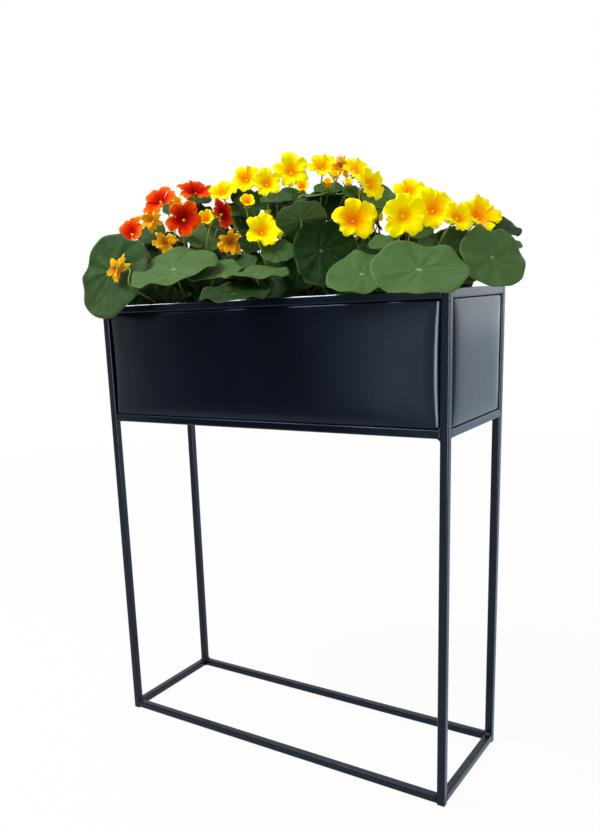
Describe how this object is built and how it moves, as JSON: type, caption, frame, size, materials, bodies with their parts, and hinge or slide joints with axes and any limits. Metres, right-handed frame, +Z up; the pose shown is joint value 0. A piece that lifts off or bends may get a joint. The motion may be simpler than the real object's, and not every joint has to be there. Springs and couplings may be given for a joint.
{
  "type": "raised planter on legs",
  "caption": "Slim rectangular planter trough of black sheet panels on a tall open frame of welded square tube, with a lift-out liner planted with round-leaved trailing flowers.",
  "frame": {"origin": "on the floor under the middle of the stand", "axes": "+X along the trough to the right seen from the front, +Y from the front to the back, +Z up"},
  "size_m": [0.708, 0.4183, 0.9549],
  "materials": {
    "black_powder_coat": "black powder coat, semi-gloss, faintly blue",
    "foot_plastic": "matt",
    "liner_plastic": "matt",
    "soil": "damp peat and bark",
    "leaf": "soft, with paler veins",
    "stalk": "smooth, green-brown",
    "red_petal": "soft, orange at the edge",
    "yellow_petal": "soft, orange throat",
    "withered_petal": "crumpled and dry"
  },
  "bodies": {
    "frame": {"back_panel": "black_powder_coat", "base_rail_back": "black_powder_coat", "base_rail_front": "black_powder_coat", "base_rail_left": "black_powder_coat", "base_rail_right": "black_powder_coat", "base_ring_welds": "black_powder_coat", "foot_plugs": "foot_plastic", "front_panel": "black_powder_coat", "left_panel": "black_powder_coat", "post_back_left": "black_powder_coat", "post_back_right": "black_powder_coat", "post_caps": "black_powder_coat", "post_front_left": "black_powder_coat", "post_front_right": "black_powder_coat", "right_panel": "black_powder_coat", "top_rail_back": "black_powder_coat", "top_rail_front": "black_powder_coat", "top_rail_left": "black_powder_coat", "top_rail_right": "black_powder_coat", "trough_floor": "black_powder_coat", "trough_rail_back": "black_powder_coat", "trough_rail_front": "black_powder_coat", "trough_rail_left": "black_powder_coat", "trough_rail_right": "black_powder_coat", "trough_ring_welds": "black_powder_coat"},
    "planting": {"left_plant_flower_stalks": "stalk", "left_plant_flowers": "red_petal", "left_plant_leaf_stalks": "stalk", "left_plant_leaves": "leaf", "left_plant_withered_flowers": "withered_petal", "left_plant_withered_stalks": "stalk", "liner": "liner_plastic", "middle_plant_flower_stalks": "stalk", "middle_plant_flowers": "yellow_petal", "middle_plant_leaf_stalks": "stalk", "middle_plant_leaves": "leaf", "right_plant_flower_stalks": "stalk", "right_plant_flowers": "yellow_petal", "right_plant_leaf_stalks": "stalk", "right_plant_leaves": "leaf", "soil": "soil"}
  },
  "joints": [
    {"name": "liner_lift", "type": "slide", "parent": "frame", "child": "planting", "axis": [0, 0, 1], "range_m": [0, 0.2]}
  ]
}
